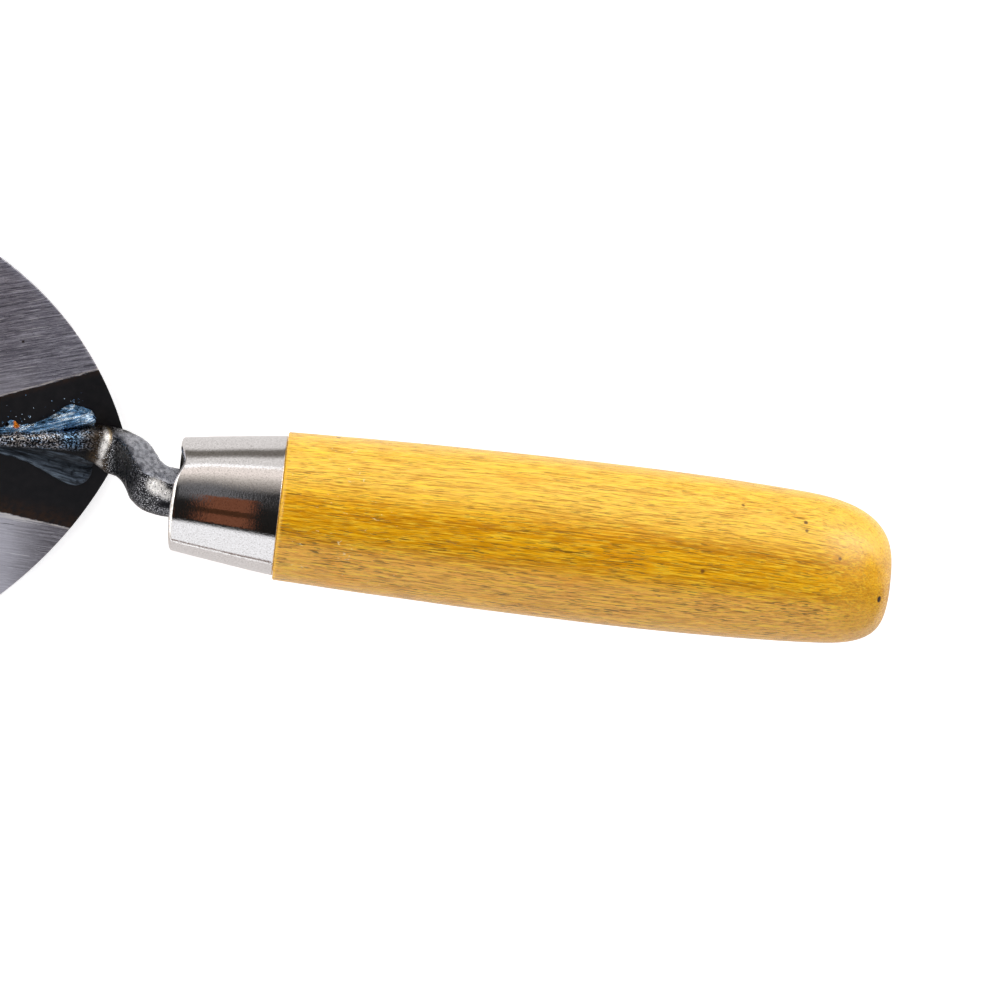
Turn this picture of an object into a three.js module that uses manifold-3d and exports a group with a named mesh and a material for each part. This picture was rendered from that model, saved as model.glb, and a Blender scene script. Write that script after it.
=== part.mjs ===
// Brick trowel: a forged steel blade with a welded cranked tang, a pressed steel
// ferrule and a turned wooden handle.
//
// Frame, in millimetres: the origin is on the blade's flat underside, on the
// centreline, half way along the blade. +X runs from the toe to the handle's butt,
// +Y is across, and +Z is up, away from the face that carries the mortar.

import * as THREE from 'three';
import { mergeVertices } from 'three/addons/utils/BufferGeometryUtils.js';
import Module from 'manifold-3d';

const DEGREE = Math.PI / 180;

// Blade
const BLADE_LENGTH = 230;
const BLADE_WIDTH = 115;
const BLADE_THICKNESS = 1.5;
const HEEL_RADIUS = 84;         // each half of the heel is one arc
const HEEL_ARC_OVERRUN = 18;    // degrees that the arc runs on past the widest point
const TOE_ROUNDING = 4;         // length of the sides that the toe's rounding takes off
const GRIND_START = 34;         // where the unground wedge begins, along X
const GRIND_SPREAD = 14.4;      // degrees between the wedge's edge and the centreline
const GRIND_SLOPE = 0.78;       // degrees that each ground face falls towards its edge

// Handle axis
const HANDLE_LIFT = 28.5;       // height of the axis above the underside, at the ferrule's mouth
const HANDLE_PITCH = 17;        // degrees that the handle rises towards its butt
const MOUTH_OFFSET = 4.8;       // the ferrule's mouth lies this far behind the heel

// Ferrule, with lengths along the handle's axis from the mouth
const FERRULE_LENGTH = 21.9;
const FERRULE_MOUTH_RADIUS = 11.95;
const FERRULE_REAR_RADIUS = 14.8;
const FERRULE_BULGE = 0.08;     // outward bow of the cone half way along
const FERRULE_WALL = 0.8;
const LIP_RADIUS = 1.3;         // the mouth is rolled inwards to this radius

// Handle
const HANDLE_LENGTH = 129.6;    // from the ferrule's rear end to the butt
const HANDLE_RADIUS = 17;       // at the fullest point
const SHOULDER_RADIUS = 15.65;
const SHOULDER_CHAMFER = 0.5;
const FULLEST_POINT = 72;
const BUTT_RADIUS = 15.4;       // body radius where the butt's rounding takes over
const BUTT_ROUNDING = 21.6;     // length of the rounding
const BUTT_EXPONENT = 3.25;     // superellipse exponent of the rounding
const TENON_START = 5;          // the wood begins this far inside the ferrule
const TENON_GAP = 0.2;

// Tang
const TANG_TAIL_LENGTH = 78;    // from the ferrule's mouth to the spike's tip
const TANG_TAIL_RADIUS = 1.6;
const TANG_NECK_RADIUS = 4.8;
const TANG_SQUARENESS = 2.8;    // superellipse exponent of the bar's section
const BORE_GAP = 0.3;
const CRANK_OFFSET = 0.3;       // the crank's centre lies this far short of the heel
const CRANK_BEND = 6.6;         // centreline radius of the upper bend

// Welds
const WELD_GAP = 0.05;          // between a weld or the tang and the blade
const BEAD_LENGTH = 24;
const BEAD_RADIUS = 3.9;
const BEAD_HEIGHT = 0.62;       // height over width
const BEAD_END = 7.4;           // the fat end stops this far short of the heel
const BEAD_OFFSET = 6.2;        // from the centreline to the bead's fat end
const BEAD_SPLAY = 10;          // degrees between the bead and the centreline

// Fineness
const ROUND_STEPS = 40;
const TANG_SIDES = 20;
const TANG_STEPS = 64;
const ARC_STEPS = 28;

const heelX = BLADE_LENGTH / 2;
const mouthX = heelX + MOUTH_OFFSET;
const pitch = HANDLE_PITCH * DEGREE;

const wasm = await Module();
wasm.setup();

function toSolid(geometry) {
  const bare = geometry.clone();
  bare.deleteAttribute('normal');
  bare.deleteAttribute('uv');
  const merged = mergeVertices(bare, 1e-4);
  return new wasm.Manifold(new wasm.Mesh({
    numProp: 3,
    vertProperties: new Float32Array(merged.attributes.position.array),
    triVerts: new Uint32Array(merged.index.array),
  }));
}

function toGeometry(solid) {
  const mesh = solid.getMesh();
  const geometry = new THREE.BufferGeometry();
  geometry.setAttribute('position', new THREE.BufferAttribute(new Float32Array(mesh.vertProperties), 3));
  geometry.setIndex(new THREE.BufferAttribute(new Uint32Array(mesh.triVerts), 1));
  return geometry;
}

// A solid below the given height, wide enough to trim anything in this part.
function slabBelow(top) {
  const slab = new THREE.BoxGeometry(2 * BLADE_LENGTH, 2 * BLADE_WIDTH, 2 * BLADE_WIDTH);
  slab.translate(0, 0, top - BLADE_WIDTH);
  return toSolid(slab);
}

function makeMesh(name, geometry, color, roughness, metalness) {
  const material = new THREE.MeshStandardMaterial({ color, roughness, metalness });
  const mesh = new THREE.Mesh(geometry, material);
  mesh.name = name;
  return mesh;
}

// ---------------------------------------------------------------- blade

// Both heel arcs meet at the heel and run on past the widest point. From there each
// side is one long shallow curve to the toe.
function bladeOutline() {
  const acrossAxis = HEEL_RADIUS - BLADE_WIDTH / 2;
  const widestX = heelX - Math.sqrt(HEEL_RADIUS ** 2 - acrossAxis ** 2);
  const heelAngle = Math.asin(acrossAxis / HEEL_RADIUS);
  const overrun = HEEL_ARC_OVERRUN * DEGREE;
  const sideStart = new THREE.Vector2(
    widestX - HEEL_RADIUS * Math.sin(overrun),
    HEEL_RADIUS * Math.cos(overrun) - acrossAxis,
  );
  const toeX = -BLADE_LENGTH / 2 - TOE_ROUNDING / 2;
  const toeSlope = 2 * Math.atan2(sideStart.y, sideStart.x - toeX) - overrun;
  const run = sideStart.x - toeX;
  const bend = (sideStart.y - run * Math.tan(toeSlope)) / (Math.tan(overrun) - Math.tan(toeSlope));
  const bendX = sideStart.x - bend;
  const bendY = sideStart.y - bend * Math.tan(overrun);
  const roundX = toeX + TOE_ROUNDING;
  const roundY = TOE_ROUNDING * Math.tan(toeSlope);

  const outline = new THREE.Shape();
  outline.moveTo(heelX, 0);
  outline.absarc(widestX, -acrossAxis, HEEL_RADIUS, heelAngle, Math.PI / 2 + overrun, false);
  outline.quadraticCurveTo(bendX, bendY, roundX, roundY);
  outline.quadraticCurveTo(toeX, 0, roundX, -roundY);
  outline.quadraticCurveTo(bendX, -bendY, sideStart.x, -sideStart.y);
  outline.absarc(widestX, acrossAxis, HEEL_RADIUS, -Math.PI / 2 - overrun, -heelAngle, false);
  return outline;
}

// The plate keeps its full thickness in a wedge that opens towards the heel. On each
// side of the wedge a ground face falls gently to the edge.
function makeBlade() {
  const plate = new THREE.ExtrudeGeometry(bladeOutline(), {
    depth: BLADE_THICKNESS,
    bevelEnabled: false,
    curveSegments: ARC_STEPS,
  });
  let solid = toSolid(plate);
  for (const side of [1, -1]) {
    const grinder = new THREE.BoxGeometry(4 * BLADE_LENGTH, 2 * BLADE_WIDTH, BLADE_WIDTH);
    grinder.translate(0, side * BLADE_WIDTH, BLADE_WIDTH / 2);
    grinder.rotateX(-side * GRIND_SLOPE * DEGREE);
    grinder.rotateZ(side * GRIND_SPREAD * DEGREE);
    grinder.translate(GRIND_START, 0, BLADE_THICKNESS);
    solid = solid.subtract(toSolid(grinder));
  }
  return toGeometry(solid);
}

// ---------------------------------------------------------------- tang

// Where the bar goes, and its half width and half thickness, from the point that is
// welded to the blade, through the crank, to the spike's tip inside the handle.
function tangStations() {
  const along = (distance) => [
    mouthX + distance * Math.cos(pitch),
    HANDLE_LIFT + distance * Math.sin(pitch),
  ];
  const crankX = heelX - CRANK_OFFSET;
  const turn = Math.PI / 2 - pitch;
  const bendEndX = crankX + CRANK_BEND * (1 - Math.cos(turn));
  const bendEndZ = HANDLE_LIFT + (bendEndX - mouthX) * Math.tan(pitch);
  const bendStartZ = bendEndZ - CRANK_BEND * Math.sin(turn);
  const bendPoint = (part) => [
    crankX + CRANK_BEND * (1 - Math.cos(part * turn)),
    bendStartZ + CRANK_BEND * Math.sin(part * turn),
  ];
  return [
    [[heelX - 55, 1.6], 1.2, 0.9],
    [[heelX - 41, 1.8], 2.7, 1.5],
    [[heelX - 27, 2.1], 4.0, 2.0],
    [[heelX - 15, 2.6], 4.9, 2.6],
    [[heelX - 8, 3.2], 5.4, 2.9],
    [[heelX - 4.2, 4.6], 5.4, 3.0],
    [[heelX - 1.6, 7.4], 5.0, 3.1],
    [[crankX - 0.3, 12], 4.8, 3.3],
    [[crankX, 17], 4.8, 3.4],
    [bendPoint(0), 4.85, 3.7],
    [bendPoint(0.5), 4.9, 4.1],
    [bendPoint(1), 4.85, 4.5],
    [along(3), TANG_NECK_RADIUS, TANG_NECK_RADIUS],
    [along(20), 4.2, 4.2],
    [along(TANG_TAIL_LENGTH), TANG_TAIL_RADIUS, TANG_TAIL_RADIUS],
  ];
}

// A round blank whose rings are carried to the stations, with every ring's section
// drawn out to a rounded rectangle. Growth fattens the bar on all sides.
function tangBlank(growth) {
  const stations = tangStations();
  const path = new THREE.CatmullRomCurve3(stations.map(([place]) => new THREE.Vector3(place[0], 0, place[1])));
  const sizes = new THREE.SplineCurve(stations.map(([, width, height]) => new THREE.Vector2(width, height)));
  const profile = [new THREE.Vector2(0, 0)];
  for (let step = 0; step <= TANG_STEPS; step += 1) {
    profile.push(new THREE.Vector2(1, step / TANG_STEPS));
  }
  profile.push(new THREE.Vector2(0, 1));
  const blank = new THREE.LatheGeometry(profile, TANG_SIDES);
  const position = blank.attributes.position;
  const up = new THREE.Vector3();
  for (let i = 0; i < position.count; i += 1) {
    const t = position.getY(i);
    const across = position.getX(i);
    const raised = position.getZ(i);
    const angle = Math.atan2(raised, across);
    const square = (Math.abs(Math.cos(angle)) ** TANG_SQUARENESS
      + Math.abs(Math.sin(angle)) ** TANG_SQUARENESS) ** (-1 / TANG_SQUARENESS);
    const size = sizes.getPoint(t);
    const centre = path.getPoint(t);
    const forward = path.getTangent(t);
    up.set(-forward.z, 0, forward.x);
    centre.addScaledVector(up, raised * square * (size.y + growth));
    centre.y -= across * square * (size.x + growth);
    position.setXYZ(i, centre.x, centre.y, centre.z);
  }
  return toSolid(blank);
}

function makeTang() {
  return toGeometry(tangBlank(0).subtract(slabBelow(BLADE_THICKNESS + WELD_GAP)));
}

// ---------------------------------------------------------------- welds

// A bead is a drop that grows from a fine point towards the heel. The blade and the
// tang cut it, as they did when the metal was poured against them.
function makeBead(side) {
  const profile = [];
  for (let step = 0; step <= ARC_STEPS; step += 1) {
    const part = step / ARC_STEPS;
    const radius = BEAD_RADIUS * Math.sin(Math.PI * part ** 1.9) ** 0.62;
    profile.push(new THREE.Vector2(step % ARC_STEPS ? radius : 0, BEAD_LENGTH * part));
  }
  const bead = new THREE.LatheGeometry(profile, TANG_SIDES);
  bead.rotateZ(-Math.PI / 2);
  bead.translate(-BEAD_LENGTH, 0, 0);
  bead.scale(1, 1, BEAD_HEIGHT);
  bead.rotateZ(side * BEAD_SPLAY * DEGREE);
  bead.translate(heelX - BEAD_END, side * BEAD_OFFSET, BLADE_THICKNESS);
  const trimmed = toSolid(bead).subtract(slabBelow(BLADE_THICKNESS + WELD_GAP));
  return toGeometry(trimmed.subtract(tangBlank(BORE_GAP)));
}

// ---------------------------------------------------------------- ferrule and handle

function ferruleRadius(distance) {
  const part = distance / FERRULE_LENGTH;
  const cone = FERRULE_MOUTH_RADIUS + (FERRULE_REAR_RADIUS - FERRULE_MOUTH_RADIUS) * part;
  return cone + 4 * FERRULE_BULGE * part * (1 - part);
}

// The wall runs out from the rolled mouth to the rear end and back along the inside.
function makeFerrule() {
  const steps = 8;
  const outside = [];
  const inside = [];
  for (let step = 0; step <= steps; step += 1) {
    const angle = (Math.PI / 2) * (step / steps);
    outside.push(new THREE.Vector2(
      ferruleRadius(LIP_RADIUS) - LIP_RADIUS * (1 - Math.sin(angle)),
      LIP_RADIUS * (1 - Math.cos(angle)),
    ));
  }
  for (let step = 1; step <= steps; step += 1) {
    const distance = LIP_RADIUS + (FERRULE_LENGTH - LIP_RADIUS) * (step / steps);
    outside.push(new THREE.Vector2(ferruleRadius(distance), distance));
  }
  for (let step = 0; step <= steps; step += 1) {
    const distance = FERRULE_LENGTH + (LIP_RADIUS - FERRULE_LENGTH) * (step / steps);
    inside.push(new THREE.Vector2(ferruleRadius(distance) - FERRULE_WALL, distance));
  }
  const start = outside[0].clone();
  inside.push(new THREE.Vector2(start.x, FERRULE_WALL));
  return new THREE.LatheGeometry([...outside, ...inside, start], ROUND_STEPS);
}

function handleRadius(distance) {
  if (distance < FULLEST_POINT) {
    const short = (FULLEST_POINT - distance) / FULLEST_POINT;
    return HANDLE_RADIUS - (HANDLE_RADIUS - SHOULDER_RADIUS) * short ** 2;
  }
  const roundingStart = HANDLE_LENGTH - BUTT_ROUNDING;
  const past = (distance - FULLEST_POINT) / (roundingStart + BUTT_ROUNDING / 2 - FULLEST_POINT);
  const body = HANDLE_RADIUS - (HANDLE_RADIUS - BUTT_RADIUS) * past ** 2;
  const rounded = Math.min(Math.max((distance - roundingStart) / BUTT_ROUNDING, 0), 1);
  return body * (1 - rounded ** BUTT_EXPONENT) ** (1 / BUTT_EXPONENT);
}

// One turned piece: a blind bore for the spike, the tenon inside the ferrule, the
// shoulder, the swelling grip and the rounded butt.
function makeHandle() {
  const boreEnd = TANG_TAIL_LENGTH + BORE_GAP;
  const profile = [
    new THREE.Vector2(0, boreEnd),
    new THREE.Vector2(TANG_TAIL_RADIUS + 3 * BORE_GAP, boreEnd),
    new THREE.Vector2(TANG_NECK_RADIUS + 3 * BORE_GAP, TENON_START),
  ];
  const tenonSteps = 4;
  for (let step = 0; step <= tenonSteps; step += 1) {
    const distance = TENON_START + (FERRULE_LENGTH + TENON_GAP - TENON_START) * (step / tenonSteps);
    profile.push(new THREE.Vector2(ferruleRadius(distance) - FERRULE_WALL - TENON_GAP, distance));
  }
  const shoulder = FERRULE_LENGTH + TENON_GAP;
  profile.push(new THREE.Vector2(SHOULDER_RADIUS - SHOULDER_CHAMFER, shoulder));
  const gripSteps = 16;
  const buttSteps = 18;
  const roundingStart = HANDLE_LENGTH - BUTT_ROUNDING;
  for (let step = 0; step <= gripSteps; step += 1) {
    const distance = SHOULDER_CHAMFER + (roundingStart - SHOULDER_CHAMFER) * (step / gripSteps);
    profile.push(new THREE.Vector2(handleRadius(distance), FERRULE_LENGTH + distance));
  }
  for (let step = 1; step < buttSteps; step += 1) {
    const distance = roundingStart + BUTT_ROUNDING * Math.sin((Math.PI / 2) * (step / buttSteps));
    profile.push(new THREE.Vector2(handleRadius(distance), FERRULE_LENGTH + distance));
  }
  profile.push(new THREE.Vector2(0, FERRULE_LENGTH + HANDLE_LENGTH));
  return new THREE.LatheGeometry(profile, ROUND_STEPS);
}

// ---------------------------------------------------------------- assembly

const trowel = new THREE.Group();

trowel.add(makeMesh('blade', makeBlade(), 0x8f8c93, 0.4, 1));
trowel.add(makeMesh('tang', makeTang(), 0x2b2c2f, 0.55, 1));
trowel.add(makeMesh('weld_bead_left', makeBead(1), 0x5f7488, 0.45, 1));
trowel.add(makeMesh('weld_bead_right', makeBead(-1), 0x4a525a, 0.5, 1));

// A turned piece stands on the handle's axis: its own Y runs from the mouth to the butt.
const grip = new THREE.Group();
grip.position.set(mouthX, 0, HANDLE_LIFT);
grip.rotation.set(0, -pitch, 0);
const axisTurn = new THREE.Group();
axisTurn.rotation.set(0, 0, -Math.PI / 2);
axisTurn.add(makeMesh('ferrule', makeFerrule(), 0xc9c6c4, 0.18, 1));
axisTurn.add(makeMesh('handle', makeHandle(), 0xd9a441, 0.45, 0));
grip.add(axisTurn);
trowel.add(grip);

export default trowel;
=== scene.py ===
"""A brick trowel: fine visual pieces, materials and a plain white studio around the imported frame."""

import math
import random

import bpy
from mathutils import Matrix, Vector, noise


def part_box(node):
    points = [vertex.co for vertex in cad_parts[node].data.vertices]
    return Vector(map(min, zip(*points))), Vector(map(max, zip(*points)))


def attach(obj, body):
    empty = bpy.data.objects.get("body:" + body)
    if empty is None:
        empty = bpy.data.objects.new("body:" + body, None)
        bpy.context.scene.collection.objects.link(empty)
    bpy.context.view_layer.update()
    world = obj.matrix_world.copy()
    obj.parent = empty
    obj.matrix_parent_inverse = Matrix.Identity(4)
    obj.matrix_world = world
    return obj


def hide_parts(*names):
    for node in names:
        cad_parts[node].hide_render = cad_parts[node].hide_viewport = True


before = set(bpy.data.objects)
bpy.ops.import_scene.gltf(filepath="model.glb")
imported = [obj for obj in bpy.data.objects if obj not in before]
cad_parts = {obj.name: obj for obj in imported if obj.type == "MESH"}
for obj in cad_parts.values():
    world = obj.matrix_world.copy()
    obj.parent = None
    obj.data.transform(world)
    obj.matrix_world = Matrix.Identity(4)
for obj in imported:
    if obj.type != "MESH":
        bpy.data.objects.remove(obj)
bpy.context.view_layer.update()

MM = 0.001

# ---------------- sizes, in millimetres

# Blade
BLADE_LOW, BLADE_HIGH = (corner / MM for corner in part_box("blade"))
HEEL_X = BLADE_HIGH.x
TOE_X = BLADE_LOW.x
HALF_WIDTH = BLADE_HIGH.y
PLATE = BLADE_HIGH.z
HEEL_RADIUS = 84.0
HEEL_ARC_OVERRUN = math.radians(18)
TOE_ROUNDING = 4.0
EDGE_ROUNDING = 0.28
EDGE_FOOT = 0.12
GRIND_FALL = math.tan(math.radians(0.78))
GRIND_STEP = 0.05
GRIND_RIPPLE = 0.003
# Each edge of the unground wedge: how far from the centreline it is at the heel, and its slope.
WEDGE_LEFT = (18.8, 0.2986)
WEDGE_RIGHT = (-23.1, -0.25)

# Handle's axis: it starts at the ferrule's mouth and rises towards the butt.
HANDLE_PITCH = math.radians(17)
MOUTH = Vector((HEEL_X + 4.8, 0.0, 28.5))
AXIS = Vector((math.cos(HANDLE_PITCH), 0.0, math.sin(HANDLE_PITCH)))
ACROSS = Vector((0.0, 1.0, 0.0))
UPWARD = AXIS.cross(ACROSS)
# The camera's side of the handle, as an angle about the axis from UPWARD towards ACROSS
FACING = math.radians(23.8)

# Ferrule and handle, measured along the axis from the mouth
FERRULE_LENGTH = 21.9
MOUTH_RADIUS = 11.95
REAR_RADIUS = 14.8
FERRULE_WALL = 0.8
FERRULE_BULGE = 0.10
LIP_RADIUS = 0.8
LIP_TURN = math.radians(111.6)
HANDLE_LENGTH = 129.6
HANDLE_RADIUS = 17.0
SHOULDER_RADIUS = 15.65
SHOULDER_CHAMFER = 0.28
FULLEST_POINT = 72.0
BUTT_RADIUS = 15.4
BUTT_ROUNDING = 21.6
BUTT_EXPONENT = 3.25
TENON_START = 5.0
TENON_CLEARANCE = 0.25
TENON_LEDGE = 0.05
END_FLAT = 0.3
TANG_TAIL = 78.0

# Lowest point of the tang and the welds above the blade's upper face
SKIN = 0.01

# Camera
CAMERA_PLACE = Vector((-181.10, 491.18, 1083.71))
CAMERA_TARGET = Vector((184.50, 7.22, 48.28))
CAMERA_UP = Vector((0.0068, 0.9068, -0.4214))
CAMERA_LENS = 205.3

random.seed(7)


# ---------------- mesh helpers

def link_mesh(name, points, faces, material):
    """An object in the scene from points in millimetres."""
    mesh = bpy.data.meshes.new(name)
    mesh.from_pydata([tuple(Vector(point) * MM) for point in points], [], faces)
    mesh.materials.append(material)
    thing = bpy.data.objects.new(name, mesh)
    bpy.context.scene.collection.objects.link(thing)
    return thing


def add_piece(name, points, faces, replaced, material):
    """A smooth visual piece that rides on the trowel's one body."""
    piece = link_mesh(name, points, faces, material)
    piece.data.validate()
    piece.data.shade_smooth()
    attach(piece, "root")
    if replaced:
        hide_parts(*replaced)


def loft_faces(rings, sides, closed_ends=True):
    """Quads between rings of points, all wound the same way, and a flat face on each end."""
    faces = []
    for ring in range(rings - 1):
        for side in range(sides):
            a = ring * sides + side
            b = ring * sides + (side + 1) % sides
            faces.append((a, b, b + sides, a + sides))
    if closed_ends:
        faces.append(tuple(reversed(range(sides))))
        faces.append(tuple(range((rings - 1) * sides, rings * sides)))
    return faces


def blend(low, high, part):
    """The number that lies that part of the way from low to high."""
    return low + (high - low) * part


def smooth(low, high, value):
    """Rises smoothly from 0 at low to 1 at high."""
    part = min(max((value - low) / (high - low), 0.0), 1.0)
    return part * part * (3 - 2 * part)


def bell(value, centre, width):
    """1 at the centre, fading to nearly 0 at twice the width."""
    return math.exp(-((value - centre) / width) ** 2)


def rough(point, size, seed=0.0):
    """Smooth noise from -1 to 1 whose lumps measure about size millimetres."""
    return noise.noise(Vector(point) / size + Vector((seed, seed * 1.7, seed * 0.6)))


def along_table(table, value):
    """The numbers at a place in a short table of (place, number, ...) rows, eased between rows."""
    for low, high in zip(table, table[1:]):
        if value <= high[0]:
            part = smooth(low[0], high[0], value)
            return [blend(a, b, part) for a, b in zip(low[1:], high[1:])]
    return list(table[-1][1:])


def catmull(points, part):
    """A point of the smooth curve through the points, with part from 0 to 1."""
    spans = len(points) - 1
    place = min(max(part, 0.0), 1.0) * spans
    span = min(int(place), spans - 1)
    t = place - span
    p = [points[min(max(span + step, 0), spans)] for step in (-1, 0, 1, 2)]
    return tuple(
        0.5 * (2 * b + (c - a) * t + (2 * a - 5 * b + 4 * c - d) * t * t + (3 * b - a - 3 * c + d) * t ** 3)
        for a, b, c, d in zip(*p)
    )


# ---------------- shader helpers

class Nodes:
    """A node tree that grows by short calls, each of which returns a socket."""

    def __init__(self, tree):
        self.tree = tree

    def add(self, kind, **settings):
        node = self.tree.nodes.new(kind)
        for key, value in settings.items():
            setattr(node, key, value)
        return node

    def feed(self, socket, value):
        if isinstance(value, bpy.types.NodeSocket):
            self.tree.links.new(value, socket)
        else:
            socket.default_value = value

    def math(self, operation, first, second=0.0):
        node = self.add("ShaderNodeMath", operation=operation)
        self.feed(node.inputs[0], first)
        self.feed(node.inputs[1], second)
        return node.outputs[0]

    def plus(self, first, second):
        return self.math("ADD", first, second)

    def minus(self, first, second):
        return self.math("SUBTRACT", first, second)

    def highest(self, first, second):
        return self.math("MAXIMUM", first, second)

    def times(self, first, *others):
        for other in others:
            first = self.math("MULTIPLY", first, other)
        return first

    def vector_math(self, operation, first, second):
        node = self.add("ShaderNodeVectorMath", operation=operation)
        self.feed(node.inputs[0], first)
        self.feed(node.inputs[1], second)
        return node.outputs["Value" if operation in ("DOT_PRODUCT", "DISTANCE") else "Vector"]

    def dot(self, vector, way):
        return self.vector_math("DOT_PRODUCT", vector, tuple(way))

    def scaled(self, vector, factors):
        return self.vector_math("MULTIPLY", vector, factors)

    def split(self, vector):
        node = self.add("ShaderNodeSeparateXYZ")
        self.feed(node.inputs[0], vector)
        return node.outputs

    def join(self, x, y, z):
        node = self.add("ShaderNodeCombineXYZ")
        for socket, value in zip(node.inputs, (x, y, z)):
            self.feed(socket, value)
        return node.outputs[0]

    def noise(self, vector, scale=1.0, detail=3.0, roughness=0.55, distortion=0.0):
        """Noise around 0.5, with scale lumps to the millimetre."""
        node = self.add("ShaderNodeTexNoise")
        self.feed(node.inputs["Vector"], vector)
        node.inputs["Scale"].default_value = scale
        node.inputs["Detail"].default_value = detail
        node.inputs["Roughness"].default_value = roughness
        node.inputs["Distortion"].default_value = distortion
        return node.outputs["Fac"]

    def range(self, value, low, high, to_low=0.0, to_high=1.0):
        """A smooth step from to_low at low to to_high at high."""
        node = self.add("ShaderNodeMapRange", interpolation_type="SMOOTHSTEP", clamp=True)
        for socket, number in zip(node.inputs, (value, low, high, to_low, to_high)):
            self.feed(socket, number)
        return node.outputs[0]

    def ramp(self, factor, stops):
        node = self.add("ShaderNodeValToRGB")
        elements = node.color_ramp.elements
        while len(elements) < len(stops):
            elements.new(1.0)
        for element, (place, color) in zip(elements, stops):
            element.position = place
            element.color = (*color, 1.0)
        self.feed(node.inputs[0], factor)
        return node.outputs[0]

    def mix(self, factor, first, second, how="MIX"):
        node = self.add("ShaderNodeMix", data_type="RGBA", blend_type=how, clamp_factor=True)
        self.feed(node.inputs["Factor"], factor)
        for socket, value in ((node.inputs[6], first), (node.inputs[7], second)):
            self.feed(socket, (*value, 1.0) if isinstance(value, tuple) else value)
        return node.outputs[2]

    def spot(self, vector, place, radius, soft=0.4):
        """1 inside a small ball at that place, fading to 0 at its radius."""
        return self.range(self.vector_math("DISTANCE", vector, place), radius, radius * soft)


class Shader(Nodes):
    """A material's nodes around its Principled BSDF. Places are in millimetres."""

    def __init__(self, name):
        self.material = bpy.data.materials.new(name)
        self.material.use_nodes = True
        super().__init__(self.material.node_tree)
        self.surface = self.tree.nodes["Principled BSDF"]
        coordinates = self.add("ShaderNodeTexCoord")
        self.place = self.scaled(coordinates.outputs["Object"], (1 / MM, 1 / MM, 1 / MM))
        self.normal = coordinates.outputs["Normal"]

    def set(self, name, value):
        self.feed(self.surface.inputs[name], value)

    def bump(self, height, depth):
        """Relief from a height of 0 to 1 that stands for depth millimetres."""
        node = self.add("ShaderNodeBump")
        node.inputs["Distance"].default_value = depth * MM
        self.feed(node.inputs["Height"], height)
        self.set("Normal", node.outputs[0])


def handle_place(s):
    """The surface point in the handle's own frame: along the axis, across, and up from it."""
    offset = s.vector_math("SUBTRACT", s.place, tuple(MOUTH))
    parts = [s.dot(offset, way) for way in (AXIS, ACROSS, UPWARD)]
    return s.join(*parts), parts


# ---------------- blade's material

# Tones are stops of a ramp: a noise value and its colour.
STEEL_TONES = ((0.34, (0.10, 0.097, 0.115)), (0.5, (0.31, 0.30, 0.345)), (0.66, (0.72, 0.71, 0.78)))
SCALE_TONES = ((0.35, (0.004, 0.004, 0.005)), (0.7, (0.010, 0.009, 0.010)))
SCALE_BROWN = (0.030, 0.0135, 0.006)
SCRATCH_PALE, SCRATCH_DARK = (0.90, 0.89, 0.94), (0.08, 0.077, 0.088)
LONG_PALE, LONG_DARK = (1.0, 1.0, 1.0), (0.05, 0.05, 0.055)
STEEL_STAIN, STEEL_SPECKLE = (0.30, 0.27, 0.25), (0.10, 0.095, 0.10)
SCRATCH_ANGLE = math.radians(10)
SIDE_OFFSET = 40.0
RAGGED_EDGE = 1.1
# Small rust marks on the ground steel: centre and radius
STEEL_SPOTS = (
    ((HEEL_X - 24.6, 23.0, PLATE), 0.55),
    ((HEEL_X - 28.0, 20.5, PLATE), 0.30),
)


def grinder_marks(s, x, y):
    """Returns a maker of noise drawn out along the grinder's marks, which lean outwards on each side."""
    far = s.math("ABSOLUTE", y)
    lean, slant = math.cos(SCRATCH_ANGLE), math.sin(SCRATCH_ANGLE)
    run = s.plus(s.times(x, lean), s.times(far, slant))
    rise = s.minus(s.times(far, lean), s.times(x, slant))
    layer = s.times(s.math("SIGN", y), SIDE_OFFSET)

    def marks(lengthwise, crosswise, detail, roughness):
        stretched = s.join(s.times(run, lengthwise), s.times(rise, crosswise), layer)
        return s.noise(stretched, 1.0, detail, roughness)

    return marks


def outside_wedge(s, x, y):
    """How far outside the wedge's left edge the point is, and how far outside its right edge."""
    from_heel = s.minus(x, HEEL_X)
    distances = []
    for sign, (at_heel, slope) in ((1, WEDGE_LEFT), (-1, WEDGE_RIGHT)):
        edge = s.plus(s.times(from_heel, slope), at_heel)
        distances.append(s.times(s.minus(y, edge), sign))
    return distances


def uneven_shine(s, steel, x, y):
    """Steel painted brighter beside the wedge as reflected light, and darker on the right by the heel."""
    on_right = s.range(y, 5, -5)
    by_heel = s.range(x, HEEL_X - 62, HEEL_X - 36)
    before_heel = s.range(x, HEEL_X - 14, HEEL_X - 27)
    # Painted reflection: the steel is lightened towards white in these places.
    bright = s.times(before_heel, on_right, by_heel)
    pale_left = s.times(before_heel, s.range(y, 21, 12), by_heel)
    # Darker steel on the right by the heel.
    darkened = s.times(s.range(x, HEEL_X - 27, HEEL_X - 14), on_right)
    steel = s.mix(s.times(bright, 0.5), steel, (1.0, 0.99, 1.0), "SOFT_LIGHT")
    steel = s.mix(s.times(bright, 0.62), steel, (0.97, 0.96, 1.0))
    steel = s.mix(s.times(pale_left, 0.30), steel, (0.80, 0.79, 0.85))
    return s.mix(s.times(darkened, 0.45), steel, (0.26, 0.24, 0.23))


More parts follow.
